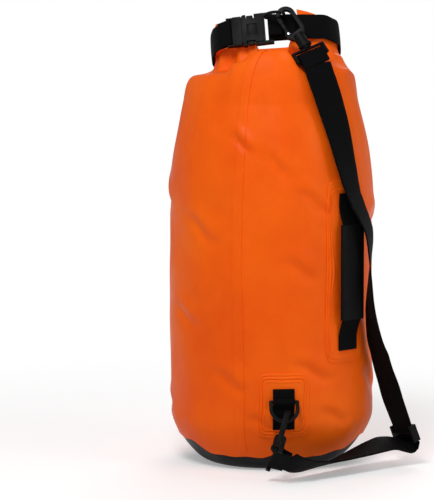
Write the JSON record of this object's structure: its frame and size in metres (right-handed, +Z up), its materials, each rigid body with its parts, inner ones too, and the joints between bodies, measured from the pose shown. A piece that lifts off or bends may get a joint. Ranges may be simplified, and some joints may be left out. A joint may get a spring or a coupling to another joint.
{
  "type": "dry bag",
  "caption": "Roll-top dry bag: welded waterproof fabric tube, mouth rolled and buckled into a ring, side handle, D-rings and a clip-on adjustable shoulder strap.",
  "frame": {"origin": "centre of the flat base, on the ground", "axes": "+Z up along the bag's axis; -Y is the side with the buckle and the D-rings; +X to the right seen from there, towards the side handle"},
  "size_m": [0.2936, 0.312, 0.5359],
  "materials": {
    "orange_tarpaulin": "PVC-coated polyester, semi-matt",
    "black_tarpaulin": "PVC-coated polyester, semi-matt",
    "black_webbing": "woven polypropylene webbing",
    "black_nylon": "moulded acetal, fine spark texture",
    "grip_rubber": "rubberised sleeve",
    "steel_pin": "bright drawn wire"
  },
  "bodies": {
    "root": {"body_tube": "orange_tarpaulin", "base_panel": "black_tarpaulin", "shoulder_panel": "orange_tarpaulin", "neck_folds": "orange_tarpaulin", "rolled_mouth": "orange_tarpaulin", "lip_stiffener": "black_nylon", "inner_lip_band": "black_webbing", "closure_band": "black_webbing", "buckle_socket": "black_nylon", "buckle_plug": "black_nylon", "socket_webbing": "black_webbing", "plug_webbing": "black_webbing", "top_ring_loop": "black_webbing", "lower_patch": "orange_tarpaulin", "lower_ring_webbing": "black_webbing", "handle_patch": "orange_tarpaulin", "handle_tabs": "black_webbing", "upper_hook_eye": "black_nylon", "lower_hook_eye": "black_nylon", "upper_strap_loop": "black_webbing", "lower_strap_loop": "black_webbing", "shoulder_strap": "black_webbing"},
    "prong_upper": {"buckle_prong_upper": "black_nylon"},
    "prong_lower": {"buckle_prong_lower": "black_nylon"},
    "top_ring": {"top_d_ring": "black_nylon"},
    "lower_ring": {"lower_d_ring": "black_nylon"},
    "upper_hook": {"upper_hook_frame": "black_nylon", "upper_gate_pin": "steel_pin"},
    "upper_gate": {"upper_hook_gate": "black_nylon"},
    "lower_hook": {"lower_hook_frame": "black_nylon", "lower_gate_pin": "steel_pin"},
    "lower_gate": {"lower_hook_gate": "black_nylon"},
    "handle": {"handle_webbing": "black_webbing", "handle_grip": "grip_rubber"},
    "slider": {"strap_slider": "black_nylon"}
  },
  "joints": [
    {"name": "buckle_release_upper", "type": "hinge", "parent": "root", "child": "prong_upper", "pos_m": [-0.03819, -0.03906, 0.51528], "axis": [0.1492, 0.9075, -0.3926], "range_deg": [0, 13], "stiffness_Nm_per_rad": 0.3},
    {"name": "buckle_release_lower", "type": "hinge", "parent": "root", "child": "prong_lower", "pos_m": [-0.03677, -0.04734, 0.49669], "axis": [-0.1492, -0.9075, 0.3926], "range_deg": [0, 13], "stiffness_Nm_per_rad": 0.3},
    {"name": "top_ring_flop", "type": "hinge", "parent": "root", "child": "top_ring", "pos_m": [0.00281, -0.05043, 0.52326], "axis": [0.9976, 0.0284, 0.0637], "range_deg": [-3, 10]},
    {"name": "lower_ring_flop", "type": "hinge", "parent": "root", "child": "lower_ring", "pos_m": [0.01302, -0.12392, 0.086], "axis": [0.9945, 0.1045, 0], "range_deg": [-9, 9]},
    {"name": "upper_hook_swivel", "type": "hinge", "parent": "root", "child": "upper_hook", "pos_m": [0.03827, -0.07738, 0.48982], "axis": [-0.5121, 0.3801, 0.7702], "range_deg": [-8, 8]},
    {"name": "upper_gate_open", "type": "hinge", "parent": "upper_hook", "child": "upper_gate", "pos_m": [0.01827, -0.06979, 0.50393], "axis": [0.0533, 0.9091, -0.4132], "range_deg": [0, 24], "stiffness_Nm_per_rad": 0.05},
    {"name": "lower_hook_swivel", "type": "hinge", "parent": "root", "child": "lower_hook", "pos_m": [0.00426, -0.16631, 0.0373], "axis": [0.2325, 0.7076, 0.6672], "range_deg": [-15, 15]},
    {"name": "lower_gate_open", "type": "hinge", "parent": "lower_hook", "child": "lower_gate", "pos_m": [0.00896, -0.14303, 0.04695], "axis": [0.9676, -0.0992, -0.232], "range_deg": [0, 24], "stiffness_Nm_per_rad": 0.05},
    {"name": "handle_swing", "type": "hinge", "parent": "root", "child": "handle", "pos_m": [0.08726, -0.08426, 0.232], "axis": [0, 0, 1], "range_deg": [-12, 12]},
    {"name": "strap_adjust", "type": "slide", "parent": "root", "child": "slider", "axis": [-0.3392, -0.0413, 0.9398], "range_m": [0, 0.02]}
  ]
}
